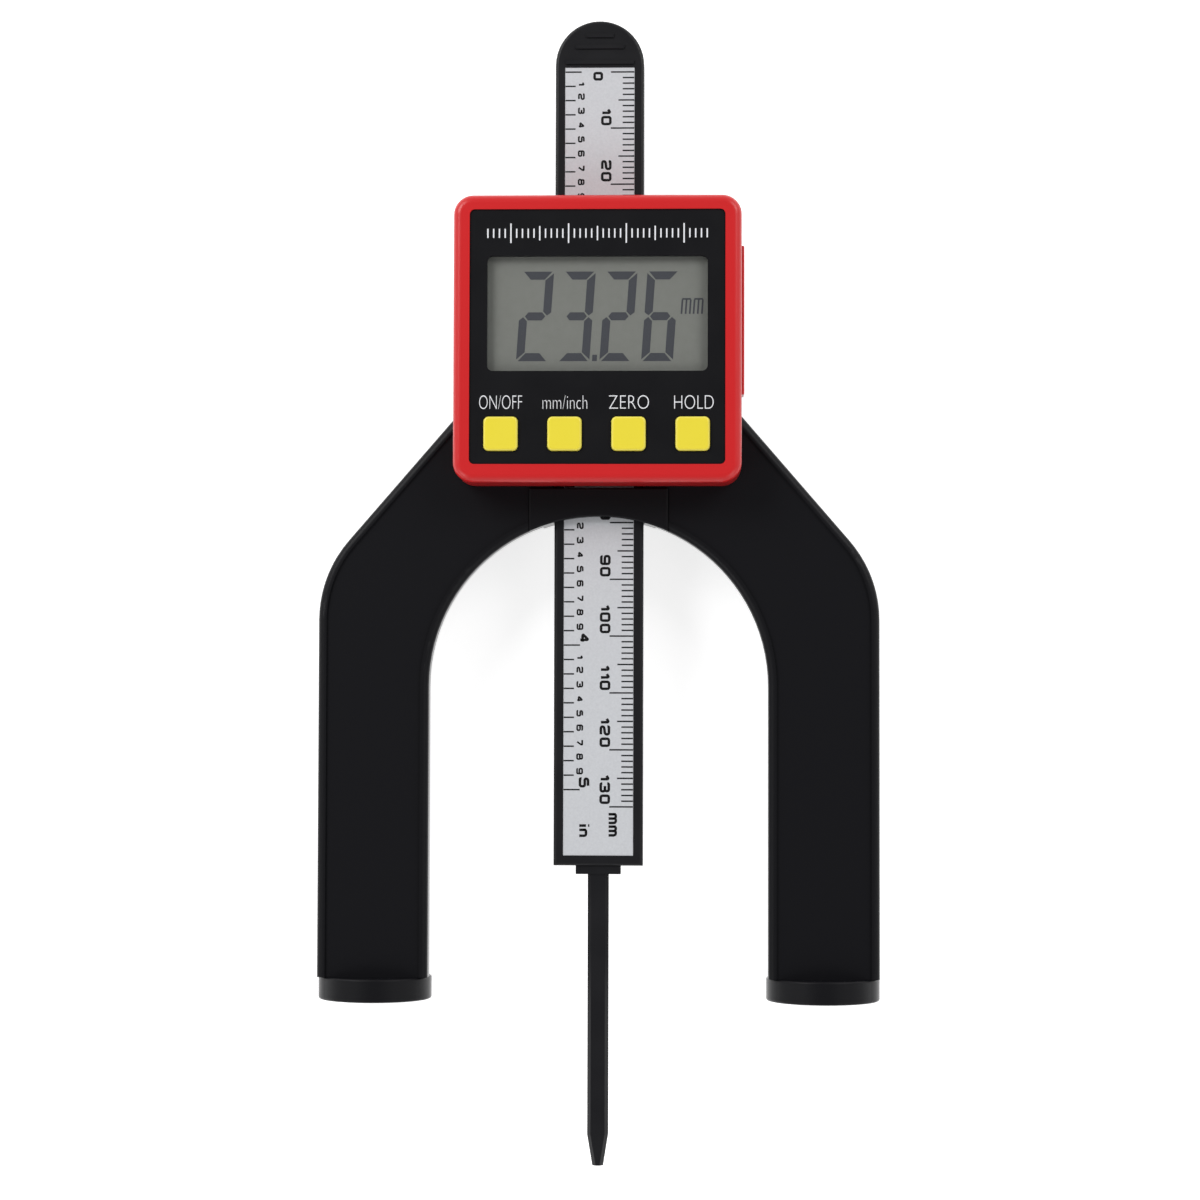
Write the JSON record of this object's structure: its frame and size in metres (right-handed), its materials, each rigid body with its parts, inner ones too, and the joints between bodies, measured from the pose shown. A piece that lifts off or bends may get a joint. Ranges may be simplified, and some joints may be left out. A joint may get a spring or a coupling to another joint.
{
  "type": "digital depth gauge",
  "caption": "Digital depth and height gauge: a black arched frame on round feet, a red display case and a sliding scaled beam with a thin probe.",
  "frame": {"origin": "under the middle of the whole length, at the lowest line of the round feet, with the gauge lying on its back", "axes": "+X to the right across the two feet, +Y along the beam from the probe to its round head, +Z from the rear cover to the display"},
  "size_m": [0.0992, 0.202, 0.0259],
  "materials": {
    "black_shell": "fine moulded texture",
    "black_beam": "satin moulded",
    "black_rod": "black finish",
    "silver_scale": "brushed satin",
    "red_case": "satin gloss",
    "black_face": "smooth",
    "clear_window": "clear",
    "display_glass": "grey display",
    "yellow_button": "satin",
    "screw_steel": "zinc plated",
    "magnet_nickel": "nickel plated",
    "cell_steel": "bright",
    "spring_bronze": "bright",
    "board_green": "solder mask",
    "chip_black": "moulded",
    "holder_white": "moulded",
    "contact_rubber": "silicone"
  },
  "bodies": {
    "frame": {"frame_front": "black_shell", "frame_back": "black_shell", "guide_bridge": "black_shell", "foot_cap_left": "black_shell", "foot_cap_right": "black_shell", "display_case": "red_case", "face_plate": "black_face", "display_window": "clear_window", "lcd_glass": "display_glass", "frame_screws": "screw_steel", "case_screws": "screw_steel", "dome_switches": "screw_steel", "foot_magnet_left": "magnet_nickel", "foot_magnet_right": "magnet_nickel", "friction_leaf": "spring_bronze", "contact_under_cell": "spring_bronze", "contact_over_cell": "spring_bronze", "circuit_board": "board_green", "controller_chip": "chip_black", "lcd_holder": "holder_white", "zebra_strip": "contact_rubber"},
    "beam": {"beam": "black_beam", "scale_plate": "silver_scale", "stator_strip": "board_green", "probe": "black_rod"},
    "battery_drawer": {"battery_drawer": "red_case", "coin_cell": "cell_steel"},
    "button_power": {"button_power": "yellow_button"},
    "button_unit": {"button_unit": "yellow_button"},
    "button_zero": {"button_zero": "yellow_button"},
    "button_hold": {"button_hold": "yellow_button"}
  },
  "joints": [
    {"name": "beam_slide", "type": "slide", "parent": "frame", "child": "beam", "axis": [0, 1, 0], "range_m": [-0.0237, 0.0563]},
    {"name": "battery_drawer_slide", "type": "slide", "parent": "frame", "child": "battery_drawer", "axis": [1, 0, 0], "range_m": [0, 0.021]},
    {"name": "button_power_press", "type": "slide", "parent": "frame", "child": "button_power", "axis": [0, 0, -1], "range_m": [0, 0.0005], "stiffness_N_per_m": 3000},
    {"name": "button_unit_press", "type": "slide", "parent": "frame", "child": "button_unit", "axis": [0, 0, -1], "range_m": [0, 0.0005], "stiffness_N_per_m": 3000},
    {"name": "button_zero_press", "type": "slide", "parent": "frame", "child": "button_zero", "axis": [0, 0, -1], "range_m": [0, 0.0005], "stiffness_N_per_m": 3000},
    {"name": "button_hold_press", "type": "slide", "parent": "frame", "child": "button_hold", "axis": [0, 0, -1], "range_m": [0, 0.0005], "stiffness_N_per_m": 3000}
  ]
}
